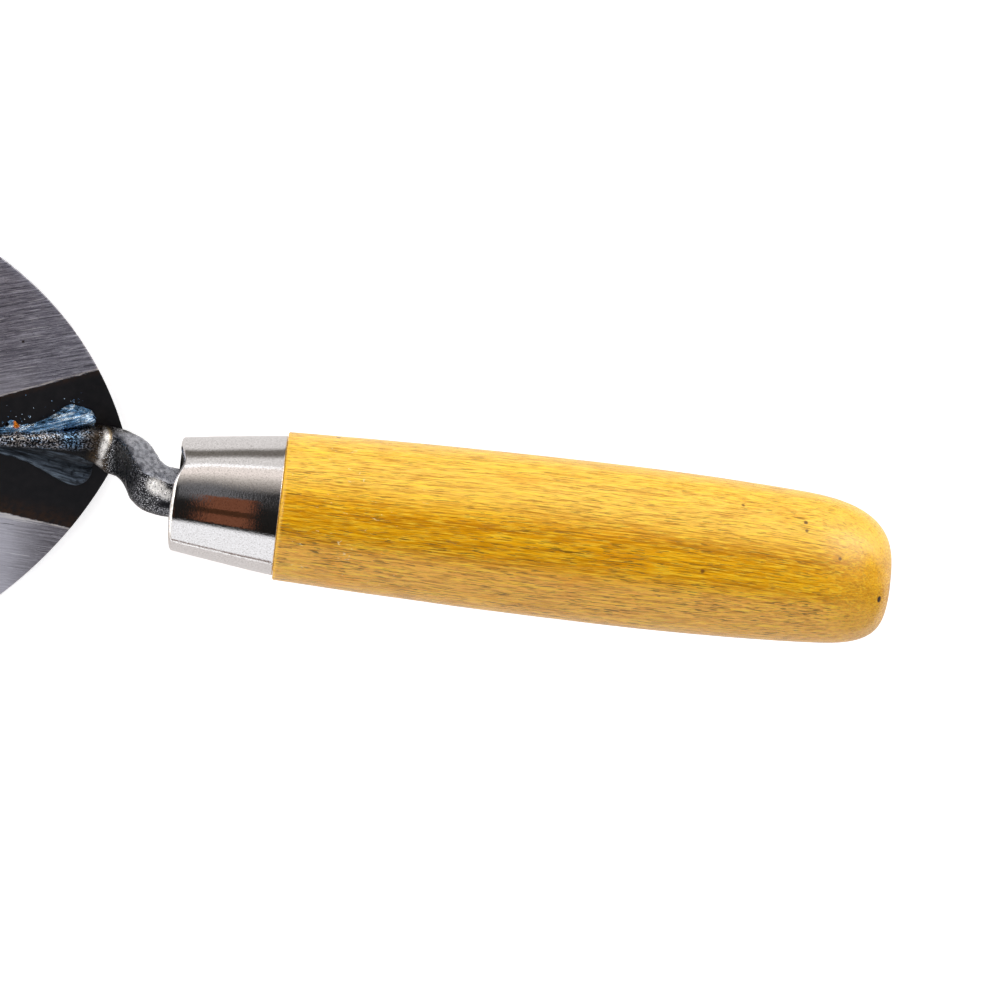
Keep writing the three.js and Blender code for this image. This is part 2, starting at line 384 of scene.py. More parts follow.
def wedge_border(s, steel, x, beyond, beyond_right, ragged, streaks):
    """A thin warm line where the grinding broke through the scale, and a pale fringe on the right."""
    rim = s.times(s.range(beyond, 0.10, 0.25), s.range(beyond, 0.62, 0.30))
    rim = s.times(rim, s.range(x, HEEL_X - 74, HEEL_X - 64), s.range(ragged, 0.35, 0.6, 0.1, 0.7))
    steel = s.mix(rim, steel, (1.0, 0.92, 0.80))
    fringe = s.times(s.range(beyond_right, 1.8, 0.6), s.range(beyond_right, -0.3, 0.1))
    fringe = s.times(fringe, s.range(x, HEEL_X - 15, HEEL_X - 22), s.range(x, HEEL_X - 70, HEEL_X - 60))
    return s.mix(s.times(fringe, s.range(streaks, 0.46, 0.56)), steel, (1.0, 0.97, 0.92))


def mill_scale(s, beyond_left, beyond_right):
    """Black scale that turns brown towards the wedge's edges."""
    scale = s.ramp(s.noise(s.place, 0.5, 5, 0.7), SCALE_TONES)
    warm = s.highest(s.range(beyond_right, -5.5, -0.3), s.range(beyond_left, -1.6, -0.2, 0.0, 0.6))
    warm = s.times(warm, s.range(s.noise(s.place, 0.8, 4, 0.7), 0.3, 0.65))
    return s.mix(warm, scale, SCALE_BROWN)


def ground_steel():
    """The blade: ground bright on both sides of a wedge that keeps its black mill scale."""
    s = Shader("ground_steel")
    x, y, z = s.split(s.place)
    marks = grinder_marks(s, x, y)
    streaks = marks(0.06, 2.4, 5, 0.7)
    scratches = marks(0.35, 7.0, 3, 0.7)
    ragged = marks(0.5, 2.2, 4, 0.7)
    long_scratches = marks(0.10, 3.6, 2, 0.6)
    cloud = s.noise(s.place, 0.12, 3, 0.6)
    speckle = s.noise(s.place, 2.6, 2, 0.7)
    left, right = outside_wedge(s, x, y)
    beyond = s.plus(s.highest(left, right), s.times(s.minus(ragged, 0.5), RAGGED_EDGE))
    below = s.minus(1.0, s.range(z, 0.4 * PLATE, 0.6 * PLATE))
    ground = s.highest(s.range(beyond, -0.05, 0.25), below)

    steel = s.ramp(streaks, STEEL_TONES)
    steel = s.mix(s.range(scratches, 0.56, 0.66, 0.0, 0.8), steel, SCRATCH_PALE)
    steel = s.mix(s.range(scratches, 0.44, 0.34, 0.0, 0.85), steel, SCRATCH_DARK)
    steel = s.mix(s.range(speckle, 0.58, 0.68, 0.0, 0.5), steel, STEEL_SPECKLE)
    steel = uneven_shine(s, steel, x, y)
    steel = s.mix(s.range(cloud, 0.52, 0.78, 0.0, 0.16), steel, STEEL_STAIN)
    steel = wedge_border(s, steel, x, beyond, right, ragged, streaks)
    steel = s.mix(s.range(long_scratches, 0.665, 0.70, 0.0, 0.9), steel, LONG_PALE)
    steel = s.mix(s.range(long_scratches, 0.335, 0.30, 0.0, 0.8), steel, LONG_DARK)
    for place, radius in STEEL_SPOTS:
        steel = s.mix(s.spot(s.place, place, radius, 0.3), steel, (0.03, 0.018, 0.01))

    s.set("Base Color", s.mix(ground, mill_scale(s, left, right), steel))
    s.set("Metallic", ground)
    s.set("Roughness", s.range(ground, 0.0, 1.0, 0.36, 0.34))
    s.set("Specular IOR Level", 0.22)
    relief = s.plus(s.times(scratches, 0.6), s.times(streaks, 0.6))
    pits = s.times(s.noise(s.place, 3.0, 3, 0.7), s.range(ground, 0.0, 1.0, 0.9, 0.25))
    s.bump(s.plus(relief, pits), 0.014)
    return s.material


# ---------------- tang's material

BLACK_TONES = ((0.45, (0.006, 0.006, 0.007)), (0.57, (0.020, 0.021, 0.024)), (0.655, (0.90, 0.91, 0.95)))
SPECKLED_TONES = ((0.40, (0.008, 0.008, 0.010)), (0.53, (0.048, 0.048, 0.055)), (0.65, (0.55, 0.55, 0.58)))
# Greys of the crank's left face: a painted reflection.
LEFT_FACE_REFLECTION_TONES = ((0.40, (0.16, 0.17, 0.20)), (0.50, (0.36, 0.38, 0.43)), (0.62, (0.56, 0.58, 0.64)))
CREST_TONES = ((0.42, (0.42, 0.38, 0.34)), (0.50, (0.66, 0.65, 0.68)), (0.60, (0.40, 0.58, 0.80)))
# Painted shade for the dark lines on the crank's rounded edge and along its bar, then the bar's black
# scale.
EDGE_SHADE_BLACK, LINE_SHADE_BLACK, BAR_BLACK = (0.012, 0.012, 0.014), (0.010, 0.010, 0.012), (0.010, 0.010, 0.011)
TEMPER_BLUE, NECK_BROWN = (0.32, 0.56, 0.85), (0.085, 0.055, 0.028)
# Colours of the painted highlights.
SHINE_WHITE, SHINE_GOLD = (1.0, 0.97, 0.94), (1.0, 0.72, 0.36)
# Painted highlights on the tang's neck and bend: centre, size along x, across and up, and strength
TANG_SHINE = (
    ((HEEL_X - 5.4, 2.9, PLATE + 3.8), (1.05, 2.4, 3.0), 1.0),
    ((HEEL_X - 6.0, 1.2, PLATE + 3.6), (1.25, 2.2, 3.0), 1.0),
    ((HEEL_X - 6.4, -0.4, PLATE + 3.4), (1.05, 2.2, 3.0), 0.9),
    ((HEEL_X - 6.6, -3.2, PLATE + 3.2), (0.9, 1.8, 3.0), 0.45),
    ((HEEL_X - 0.6, 2.5, 31.2), (2.4, 2.1, 4.0), 0.66),
    ((HEEL_X + 1.4, 1.5, 32.2), (1.8, 1.5, 4.0), 0.60),
)


def crank_tones(s, x, y, z, fine):
    """Black and speckled scale on the crank, with its left face painted grey up to the ridge as a
    reflection, and dark lines of painted shade on its bent part.
    """
    bent = s.range(s.minus(x, s.times(y, 0.3)), HEEL_X - 1.5, HEEL_X + 1.5)
    color = s.mix(bent, s.ramp(fine, BLACK_TONES), s.ramp(fine, SPECKLED_TONES))

    leftward = s.split(s.normal)[1]
    wrinkles = s.noise(s.scaled(s.place, (1.2, 1.2, 0.5)), 1.0, 4, 0.7)
    wear_and_sheen = s.mix(s.range(fine, 0.44, 0.36, 0.0, 0.8), s.ramp(wrinkles, LEFT_FACE_REFLECTION_TONES), (0.05, 0.05, 0.06))
    # Painted reflection: the face turned towards +Y is coloured grey, picked by its normal.
    left_face = s.times(s.range(leftward, 0.69, 0.73), s.range(z, PLATE + 4.0, PLATE + 7.0))
    ridge = s.minus(x, s.times(z, 0.11))
    left_face = s.times(left_face, s.range(ridge, HEEL_X - 5.7, HEEL_X - 5.3))
    color = s.mix(left_face, color, wear_and_sheen)

    # Painted shade: a dark line on the rounded edge between the faces, picked by the normal.
    edge_shade = s.times(s.range(leftward, 0.10, 0.22), s.range(leftward, 0.56, 0.44), bent)
    color = s.mix(edge_shade, color, EDGE_SHADE_BLACK)
    # Painted shade: a dark line along the middle of the bar.
    crease_and_shade_line = s.times(s.range(y, -2.0, -1.2), s.range(y, 0.2, -0.5), bent)
    return s.mix(crease_and_shade_line, color, LINE_SHADE_BLACK)


def bar_tones(s, color, x, y, grains):
    """The bar on the blade: black, with a crest rubbed by wear that has grey, buff and blue streaks."""
    on_bar = s.range(x, HEEL_X - 6.6, HEEL_X - 8.5)
    streak = s.noise(s.scaled(s.place, (0.35, 1.6, 0.6)), 1.0, 4, 0.7)
    wear_and_sheen = s.times(s.range(grains, 0.50, 0.57), on_bar, s.range(y, -0.9, 1.0))
    wear_and_sheen = s.times(wear_and_sheen, s.range(x, HEEL_X - 8, HEEL_X - 15, 0.5, 1.0))
    bluish = s.spot(s.scaled(s.place, (1.0, 1.0, 0.2)), (HEEL_X - 13.0, 2.2, 0.8), 3.6, 0.2)
    crest = s.mix(bluish, s.ramp(streak, CREST_TONES), TEMPER_BLUE)
    return s.mix(wear_and_sheen, s.mix(on_bar, color, BAR_BLACK), crest)


def tang_shine(s, color, x, grains):
    """Painted highlights at the neck and the bend, golden along one edge of the neck."""
    shine = 0.0
    for place, size, strength in TANG_SHINE:
        spread = tuple(1 / length for length in size)
        centre = tuple(a * b for a, b in zip(place, spread))
        here = s.spot(s.scaled(s.place, spread), centre, 1.15, 0.35)
        shine = s.highest(shine, s.times(here, strength))
    shine = s.times(shine, s.range(grains, 0.36, 0.48, 0.10, 1.0))
    gold = s.times(s.range(x, HEEL_X - 5.6, HEEL_X - 4.6), s.range(x, HEEL_X - 3.4, HEEL_X - 4.4))
    return s.mix(shine, color, s.mix(gold, SHINE_WHITE, SHINE_GOLD))


def forged_steel():
    """The tang: black forging scale, speckled metal on its crest from wear, painted highlights on its neck
    and bend and a painted reflection on its left face.
    """
    s = Shader("forged_steel")
    x, y, z = s.split(s.place)
    grains = s.noise(s.place, 2.6, 3, 0.7)
    fine = s.noise(s.place, 4.6, 2, 0.6)
    lumps = s.noise(s.place, 0.8, 3, 0.6)
    color = bar_tones(s, crank_tones(s, x, y, z, fine), x, y, grains)
    neck = s.times(s.range(x, HEEL_X - 10.0, HEEL_X - 7.6), s.range(x, HEEL_X - 3.6, HEEL_X - 4.6))
    neck = s.times(neck, s.range(z, PLATE + 7.0, PLATE + 4.5), s.range(grains, 0.44, 0.60, 0.25, 0.9))
    color = tang_shine(s, s.mix(neck, color, NECK_BROWN), x, grains)
    s.set("Base Color", color)
    s.set("Metallic", 1.0)
    s.set("Roughness", s.range(lumps, 0.3, 0.7, 0.22, 0.36))
    s.bump(s.plus(s.plus(grains, s.times(fine, 0.7)), lumps), 0.11)
    return s.material


# ---------------- welds' material

RUST = (0.75, 0.22, 0.02)
# Black painted as shade, in the pits and on a weld's face next to the bar.
PAINTED_SHADE = (0.004, 0.004, 0.005)
WELD_SPOTS = (
    ((HEEL_X - 24.5, 4.2, PLATE + 0.6), 1.15, RUST),
    ((HEEL_X - 26.5, 4.0, PLATE), 0.75, PAINTED_SHADE),
    ((HEEL_X - 14.2, 4.6, PLATE + 1.9), 0.28, PAINTED_SHADE),
)
WELD_LEAN = 0.30
# Deep, middle and pale tones of each weld
BLUE_TONES = ((0.015, 0.028, 0.05), (0.15, 0.34, 0.60), (0.85, 0.95, 1.0))
SLATE_TONES = ((0.022, 0.026, 0.030), (0.055, 0.068, 0.085), (0.15, 0.19, 0.235))


def weld_metal(name, side, tones, gloss, relief_depth, face_shade=0.0, crest=None):
    """A weld bead on one side of the bar: rippled metal with temper colours in long streaks.

    The face next to the bar is painted darker by face_shade as shade, and the metal is painted pale above
    crest as a highlight along its top.
    """
    s = Shader(name)
    deep, middle, pale = tones
    x, y, z = s.split(s.place)
    away = s.times(y, side)
    run = s.plus(x, s.times(away, WELD_LEAN))
    rise = s.minus(away, s.times(x, WELD_LEAN))
    streaks = s.noise(s.join(s.times(run, 0.20), s.times(rise, 1.9), side), 1.0, 5, 0.7)
    cloud = s.noise(s.place, 0.7, 3, 0.6)
    grain = s.noise(s.place, 5.0, 3, 0.65)
    color = s.ramp(streaks, ((0.36, deep), (0.49, middle), (0.62, pale)))
    color = s.mix(s.range(cloud, 0.54, 0.64, 0.0, 0.8), color, tuple(0.35 * part for part in middle))
    color = s.mix(s.range(grain, 0.64, 0.71, 0.0, 0.5), color, tuple(min(1.0, 1.4 * part) for part in pale))
    if face_shade:
        # Painted shade on the face next to the bar.
        crease_and_shade_line = s.plus(s.times(s.minus(x, HEEL_X - 24), 0.27), 2.9)
        color = s.mix(s.range(s.minus(away, crease_and_shade_line), 0.25, -0.25, 0.0, face_shade), color, PAINTED_SHADE)
    if crest:
        # Painted highlight: pale along the weld's top.
        wear_and_sheen = s.times(s.range(z, PLATE + crest, PLATE + crest + 0.35), s.range(cloud, 0.36, 0.5))
        color = s.mix(wear_and_sheen, color, pale)
    for place, radius, tone in WELD_SPOTS:
        color = s.mix(s.spot(s.place, place, radius, 0.5), color, tone)
    s.set("Base Color", color)
    s.set("Metallic", 1.0)
    s.set("Roughness", s.range(cloud, 0.3, 0.7, gloss, gloss + 0.16))
    s.bump(s.plus(s.times(streaks, 1.4), s.times(grain, 0.35)), relief_depth)
    return s.material


# ---------------- ferrule's material

PLATING_TONES = ((0.3, (0.80, 0.785, 0.775)), (0.7, (0.93, 0.92, 0.915)))
PLATING_DARK, PLATING_PALE = (0.52, 0.50, 0.49), (1.0, 1.0, 1.0)
# Painted golden reflection at the lip and the rear edge.
EDGE_GOLD_REFLECTION = (0.55, 0.42, 0.25)
# Painted shade inside the ferrule.
FERRULE_INSIDE_SHADE = (0.02, 0.018, 0.016)


def plated_metal():
    """The ferrule: bright plating over drawn sheet, a little satin, and painted dark inside as shade."""
    s = Shader("plated_metal")
    run, across, up = handle_place(s)[1]
    mottle = s.noise(s.place, 1.9, 3, 0.6)
    fine = s.noise(s.place, 3.6, 2, 0.6)
    cloud = s.noise(s.place, 0.25, 2, 0.5)
    color = s.ramp(mottle, PLATING_TONES)
    color = s.mix(s.range(fine, 0.56, 0.66, 0.0, 0.6), color, PLATING_DARK)
    color = s.mix(s.range(fine, 0.42, 0.34, 0.0, 0.7), color, PLATING_PALE)
    # Painted golden reflection on the lip and at the rear edge.
    front = s.range(run, 0.4, -0.8, 0.0, 0.5)
    rear = s.range(run, FERRULE_LENGTH - 0.5, FERRULE_LENGTH)
    color = s.mix(s.times(s.highest(front, rear), s.range(mottle, 0.4, 0.6)), color, EDGE_GOLD_REFLECTION)
    radius = s.math("SQRT", s.plus(s.times(across, across), s.times(up, up)))
    outer = s.plus(s.times(run, (REAR_RADIUS - MOUTH_RADIUS) / FERRULE_LENGTH), MOUTH_RADIUS)
    # Painted shade on the inner face, found by its distance inside the outer face.
    inside = s.range(s.minus(outer, radius), 0.50, 0.62)
    s.set("Base Color", s.mix(inside, color, FERRULE_INSIDE_SHADE))
    s.set("Metallic", 1.0)
    s.set("Roughness", s.range(cloud, 0.3, 0.7, 0.04, 0.07))
    s.bump(s.plus(mottle, s.times(fine, 0.35)), 0.013)
    return s.material


# ---------------- handle's material

WOOD_TONES = ((0.36, (0.60, 0.235, 0.0)), (0.5, (0.76, 0.335, 0.001)), (0.64, (0.90, 0.430, 0.003)))
# Painted light and sheen: paler on its two long sides, left then right
WOOD_LEFT_SHEEN, WOOD_RIGHT_SHEEN = (1.0, 0.620, 0.090), (1.0, 0.490, 0.080)
FIBRE_PALE, FIBRE_DARK = (1.0, 0.620, 0.012), (0.48, 0.185, 0.001)
HAIR_PALE, HAIR_DARK = (1.0, 0.72, 0.060), (0.40, 0.165, 0.002)
PATCH_TONE, TICK_TONE, PORE_TONE = (0.84, 0.33, 0.004), (0.50, 0.200, 0.004), (0.155, 0.090, 0.004)
SCUFF_TONE, SHOULDER_TONE = (1.0, 0.85, 0.45), (0.98, 0.53, 0.004)
# The first is painted shade on the tenon inside the ferrule.
TENON_SHADE, KNOT_TONE, CRACK_TONE = (0.040, 0.020, 0.008), (0.10, 0.035, 0.008), (0.03, 0.012, 0.006)
BUTT_END = FERRULE_LENGTH + HANDLE_LENGTH
# Pin knots: along the axis, across, up, radius, strength
WOOD_SPOTS = (
    (32.4, 15.7, -3.4, 0.65, 0.9),
    (131.4, 13.8, 8.0, 0.62, 0.9),
    (131.7, 12.7, 9.7, 0.50, 0.8),
    (139.2, 8.5, 12.6, 0.50, 0.8),
    (110.8, 3.7, 16.4, 0.60, 0.8),
    (146.7, 12.4, 1.7, 0.60, 0.8),
    (118.0, 15.3, 6.3, 0.50, 0.8),
)
CRACK_PLACE = (148.7, -0.1, 11.5)


def wood_pores(s, grain, calm, lateral):
    """Open pores: short dark dashes in loose clouds."""
    field = s.noise(s.scaled(grain, (0.32, 4.2, 4.2)), 1.0, 1, 0.5)
    cloud = s.noise(s.scaled(grain, (0.04, 0.35, 0.35)), 1.0, 3, 0.6)
    pores = s.times(s.range(field, 0.600, 0.640), s.range(cloud, 0.34, 0.6, 0.35, 0.95))
    # Pores fainter on the left side, under the painted sheen.
    return s.times(pores, calm, s.range(lateral, -8.0, 8.0, 0.95, 0.65))


def wood_marks(s, color, local, run, fibre):
    """Scuffs by the ferrule, a brighter band at the shoulder, painted shade on the tenon inside the
    ferrule, pin knots and a crack in the butt.
    """
    scuffs = s.range(s.noise(s.scaled(local, (0.45, 0.9, 0.9)), 1.0, 2, 0.6, 1.5), 0.70, 0.74)
    color = s.mix(s.times(scuffs, s.range(run, 60, 40), 0.6), color, SCUFF_TONE)
    # A brighter orange band along the shoulder's chamfer.
    edge = s.plus(run, s.times(fibre, 1.2))
    shoulder = s.range(edge, FERRULE_LENGTH + 1.35, FERRULE_LENGTH + 0.9)
    color = s.mix(s.times(shoulder, 0.55), color, SHOULDER_TONE)
    # Painted shade on the tenon inside the ferrule.
    color = s.mix(s.range(run, FERRULE_LENGTH - 0.5, FERRULE_LENGTH - 1.5), color, TENON_SHADE)
    for along, over, high, radius, strength in WOOD_SPOTS:
        mark = s.times(s.spot(local, (along, over, high), radius), strength)
        color = s.mix(mark, color, KNOT_TONE)
    crack = s.spot(s.scaled(local, (1.0, 0.8, 1.0)), CRACK_PLACE, 0.72, 0.6)
    return s.mix(crack, color, CRACK_TONE)


def lacquered_wood():
    """The handle: open-pored hardwood with its grain along the axis, under golden lacquer."""
    s = Shader("lacquered_wood")
    local, (run, across, up) = handle_place(s)
    bent = s.noise(s.scaled(local, (0.012, 0.05, 0.05)), 1.0, 1, 0.5)
    grain = s.join(run, s.plus(across, s.times(bent, 3.0)), up)
    lateral = s.minus(s.times(across, math.cos(FACING)), s.times(up, math.sin(FACING)))
    calm = s.range(run, BUTT_END - 3, BUTT_END - 20, 0.35, 1.0)
    figure = s.noise(s.scaled(grain, (0.010, 0.40, 0.40)), 1.0, 4, 0.65)
    fibre = s.noise(s.scaled(grain, (0.055, 2.3, 2.3)), 1.0, 4, 0.75)
    hair = s.noise(s.scaled(grain, (0.17, 4.6, 4.6)), 1.0, 2, 0.7)
    patch = s.noise(s.scaled(local, (0.05, 0.12, 0.12)), 1.0, 3, 0.6)
    ticks = s.noise(s.scaled(grain, (0.13, 1.5, 1.5)), 1.0, 3, 0.75)
    pores = wood_pores(s, grain, calm, lateral)

    color = s.ramp(figure, WOOD_TONES)
    # Painted light and sheen: paler towards both long sides, measured from the camera's side.
    color = s.mix(s.range(lateral, 0.5, 8.0, 0.0, 0.80), color, WOOD_LEFT_SHEEN)
    color = s.mix(s.range(lateral, -4.0, -10.0, 0.0, 0.80), color, WOOD_RIGHT_SHEEN)
    color = s.mix(s.range(fibre, 0.50, 0.64, 0.0, 0.70), color, FIBRE_PALE)
    color = s.mix(s.times(s.range(fibre, 0.49, 0.36, 0.0, 0.70), calm), color, FIBRE_DARK)
    color = s.mix(s.range(patch, 0.54, 0.70, 0.0, 0.50), color, PATCH_TONE)
    color = s.mix(s.range(ticks, 0.55, 0.66, 0.0, 0.60), color, TICK_TONE)
    color = s.mix(s.times(s.range(hair, 0.48, 0.38, 0.0, 0.65), calm), color, HAIR_DARK)
    color = s.mix(s.range(hair, 0.55, 0.63, 0.0, 0.60), color, HAIR_PALE)
    color = s.mix(pores, color, PORE_TONE)
    s.set("Base Color", wood_marks(s, color, local, run, fibre))
    s.set("Roughness", s.range(fibre, 0.3, 0.7, 0.22, 0.32))
    relief = s.minus(s.times(fibre, 0.35), s.times(pores, 0.9))
    s.bump(s.plus(relief, s.times(hair, 0.35)), 0.040)
    s.set("Specular IOR Level", 0.45)
    return s.material


# ---------------- blade

def quadratic(first, control, last, t):
    return (1 - t) ** 2 * first + 2 * t * (1 - t) * control + t * t * last


def blade_outline(steps, toe_steps=12, first_step=0.02):
    """Points (x, half width) along the left side, from just behind the toe's tip to the heel."""
    over_axis = HEEL_RADIUS - HALF_WIDTH
    widest = HEEL_X - math.sqrt(HEEL_RADIUS ** 2 - over_axis ** 2)
    heel_angle = math.asin(over_axis / HEEL_RADIUS)
    start_angle = math.pi / 2 + HEEL_ARC_OVERRUN
    side_x = widest - HEEL_RADIUS * math.sin(HEEL_ARC_OVERRUN)
    side_y = HEEL_RADIUS * math.cos(HEEL_ARC_OVERRUN) - over_axis
    toe = TOE_X - TOE_ROUNDING / 4
    run = side_x - toe
    toe_slope = 2 * math.atan2(side_y, run) - HEEL_ARC_OVERRUN
    bend = (side_y - run * math.tan(toe_slope)) / (math.tan(HEEL_ARC_OVERRUN) - math.tan(toe_slope))
    bend_x, bend_y = side_x - bend, side_y - bend * math.tan(HEEL_ARC_OVERRUN)
    round_x, round_y = toe + TOE_ROUNDING, TOE_ROUNDING * math.tan(toe_slope)
    outline = []
    for step in range(toe_steps):
        t = 0.5 + 0.5 * (first_step + step / toe_steps) / (1 + first_step)
        outline.append((quadratic(round_x, toe, round_x, t), quadratic(-round_y, 0.0, round_y, t)))
    for step in range(steps):
        t = step / steps
        outline.append((quadratic(round_x, bend_x, side_x, t), quadratic(round_y, bend_y, side_y, t)))
    for step in range(steps + 1):
        angle = blend(start_angle, heel_angle, step / steps)
        outline.append((
            widest + HEEL_RADIUS * math.cos(angle),
            max(HEEL_RADIUS * math.sin(angle) - over_axis, 0.02),
        ))
    return outline


def wedge_edge(x, side):
    """How far across the wedge's edge is on that side, at that place along the blade."""
    at_heel, slope = WEDGE_LEFT if side > 0 else WEDGE_RIGHT
    return at_heel + slope * (x - HEEL_X)


def plate_top(x, y):
    """Height of the blade's upper face: flat in the wedge, a step lower and falling outside it."""
    past = max(y - wedge_edge(x, 1), wedge_edge(x, -1) - y, 0.0)
    if past == 0.0:
        return PLATE
    ripple = GRIND_RIPPLE * rough((x, y * 2, 0), 9.0) * smooth(0, 2, past)
    return PLATE - GRIND_FALL * past - GRIND_STEP * smooth(-0.1, 0.25, past) + ripple


def make_blade():
    """Cross rows between the two sides: the upper face, a rounded edge and the flat underside."""
    inner = 56
    turns = (0.35, 0.7, 1.0)
    rows = []
    for x, half in blade_outline(110):
        edge = min(EDGE_ROUNDING, 0.45 * half)
        row = []
        for step in range(inner + 1):
            y = (half - edge) * (2 * step / inner - 1)
            row.append((x, y, plate_top(x, y)))
        top_edge = plate_top(x, half)
        for turn in turns:
            y = half - edge * (1 - math.sin(turn * math.pi / 2))
            row.append((x, y, top_edge - edge * (1 - math.cos(turn * math.pi / 2))))
        row.append((x, half, EDGE_FOOT))
        row.append((x, half - 0.3 * edge, 0.0))
        for step in range(inner + 1):
            y = (half - edge) * (1 - 2 * step / inner)
            row.append((x, y, 0.0))
        row.append((x, -half + 0.3 * edge, 0.0))
        row.append((x, -half, EDGE_FOOT))
        for turn in reversed(turns):
            y = -half + edge * (1 - math.sin(turn * math.pi / 2))
            row.append((x, y, plate_top(x, -half) - edge * (1 - math.cos(turn * math.pi / 2))))
        rows.append(row)
    points = [point for row in rows for point in row]
    faces = [tuple(reversed(face)) for face in loft_faces(len(rows), len(rows[0]))]
    add_piece("blade_plate", points, faces, ("blade",), ground_steel())


# ---------------- tang

CRANK_X = HEEL_X - 0.3
CRANK_BEND = 6.6
CRANK_TURN = math.pi / 2 - HANDLE_PITCH


def on_axis(distance):
    """x and z of a point of the handle's axis, from the mouth."""
    return MOUTH.x + distance * AXIS.x, MOUTH.z + distance * AXIS.z


def bend_point(part):
    """x and z of a point of the crank's upper bend, an arc from the upright to the handle's axis."""
    end_x = CRANK_X + CRANK_BEND * (1 - math.cos(CRANK_TURN))
    end_z = MOUTH.z + (end_x - MOUTH.x) * math.tan(HANDLE_PITCH)
    start_z = end_z - CRANK_BEND * math.sin(CRANK_TURN)
    turn = part * CRANK_TURN
    return CRANK_X + CRANK_BEND * (1 - math.cos(turn)), start_z + CRANK_BEND * math.sin(turn)


def tang_stations():
    """Sections along the bar, from the toe side to the spike's tip.

    Each has its x, z, half widths to the left and to the right, half thickness, squareness and
    shift to the left.
    """
    heel = HEEL_X
    return [
        (heel - 55, 1.6, 0.8, 0.8, 0.9, 2.2, 0.6),
        (heel - 41, 1.9, 1.0, 1.0, 1.4, 2.2, 0.7),
        (heel - 27, 2.3, 1.5, 1.6, 2.1, 2.3, 0.9),
        (heel - 15, 2.7, 2.3, 2.6, 2.6, 2.5, 0.9),
        (heel - 8, 3.1, 3.4, 4.3, 3.0, 2.8, 0.6),
        (heel - 4.2, 4.6, 4.1, 5.6, 3.0, 3.4, 0.1),
        (heel - 1.6, 7.6, 4.2, 5.4, 3.1, 4.2, 0.0),
        (CRANK_X - 0.3, 12.0, 4.7, 4.8, 3.3, 4.6, 0.0),
        (CRANK_X, 17.0, 4.8, 4.7, 3.4, 4.6, 0.0),
        (*bend_point(0), 4.9, 4.7, 3.8, 4.0, 0.0),
        (*bend_point(0.5), 4.9, 4.8, 4.4, 3.4, 0.0),
        (*bend_point(1), 4.85, 4.8, 4.7, 3.0, 0.0),
        (*on_axis(3), 4.8, 4.8, 4.8, 2.8, 0.0),
        (*on_axis(20), 4.2, 4.2, 4.2, 2.8, 0.0),
        (*on_axis(TANG_TAIL), 1.6, 1.6, 1.6, 2.8, 0.0),
    ]


def make_tang():
    """The bar's section is carried along its path, with the marks of the hammer on its faces."""
    stations = tang_stations()
    spans = len(stations) - 1
    sides, steps = 72, 26
    hidden_spans, hidden_stride = 1, 4
    nearby = 0.002
    points = []
    rings = 0
    for ring in range(spans * steps + 1):
        part = ring / (spans * steps)
        if part > (spans - hidden_spans) / spans and ring % hidden_stride:
            continue
        x, z, left, right, thick, square, shift = catmull(stations, part)
        ahead = catmull(stations, part + nearby)
        behind = catmull(stations, part - nearby)
        forward = Vector((ahead[0] - behind[0], 0, ahead[1] - behind[1])).normalized()
        over = Vector((-forward.z, 0, forward.x))
        for side in range(sides):
            angle = 2 * math.pi * side / sides
            c, t = math.cos(angle), math.sin(angle)
            size = (abs(c) ** square + abs(t) ** square) ** (-1 / square)
            width = left if c > 0 else right
            place = Vector((x, shift, z)) + over * (t * size * thick) + ACROSS * (c * size * width)
            outward = (over * t + ACROSS * c)
            lump = 0.10 * rough(place, 2.4, 3.0) + 0.05 * rough(place, 0.9, 5.0)
            place = place + outward * lump * smooth(0.0, 0.06, part)
            place.z = max(place.z, PLATE + SKIN)
            points.append(place)
        rings += 1
    faces = loft_faces(rings, sides)
    add_piece("tang_forging", points, faces, ("tang",), forged_steel())


# ---------------- welds

# Each weld runs from the toe side to its fat end: distance before the heel, then the
# places across of its inner and outer borders, and the heights of its root and ridge.
LEFT_WELD = [
    (38.0, 0.6, 1.6, 1.00, 0.35),
    (31.0, 0.8, 2.6, 1.40, 0.60),
    (27.4, 1.0, 3.4, 1.70, 0.80),
    (26.2, 1.1, 4.9, 1.75, 0.80),
    (24.8, 1.2, 4.8, 1.75, 0.85),
    (23.4, 1.3, 3.9, 1.70, 1.00),
    (19.5, 1.8, 4.7, 1.50, 1.45),
    (16.5, 2.3, 6.3, 1.20, 1.85),
    (13.6, 2.9, 8.5, 1.05, 2.15),
    (11.5, 3.3, 8.3, 1.00, 2.20),
    (8.6, 3.7, 7.4, 0.95, 2.00),
    (7.5, 4.2, 6.2, 0.60, 1.20),
    (7.2, 4.8, 5.4, 0.10, 0.25),
]
RIGHT_WELD = [
    (38.0, 0.4, -1.2, 1.3, 0.25),
    (30.0, 0.2, -2.4, 1.9, 0.40),
    (24.0, -0.1, -3.9, 2.4, 0.60),
    (20.0, -0.4, -5.6, 2.7, 0.85),
    (15.5, -0.9, -8.2, 3.1, 1.15),
    (12.0, -1.3, -10.1, 3.4, 1.35),
    (9.6, -1.7, -10.4, 3.6, 1.35),
    (7.9, -2.4, -9.3, 3.6, 1.15),
    (7.0, -3.4, -7.8, 2.6, 0.70),
]


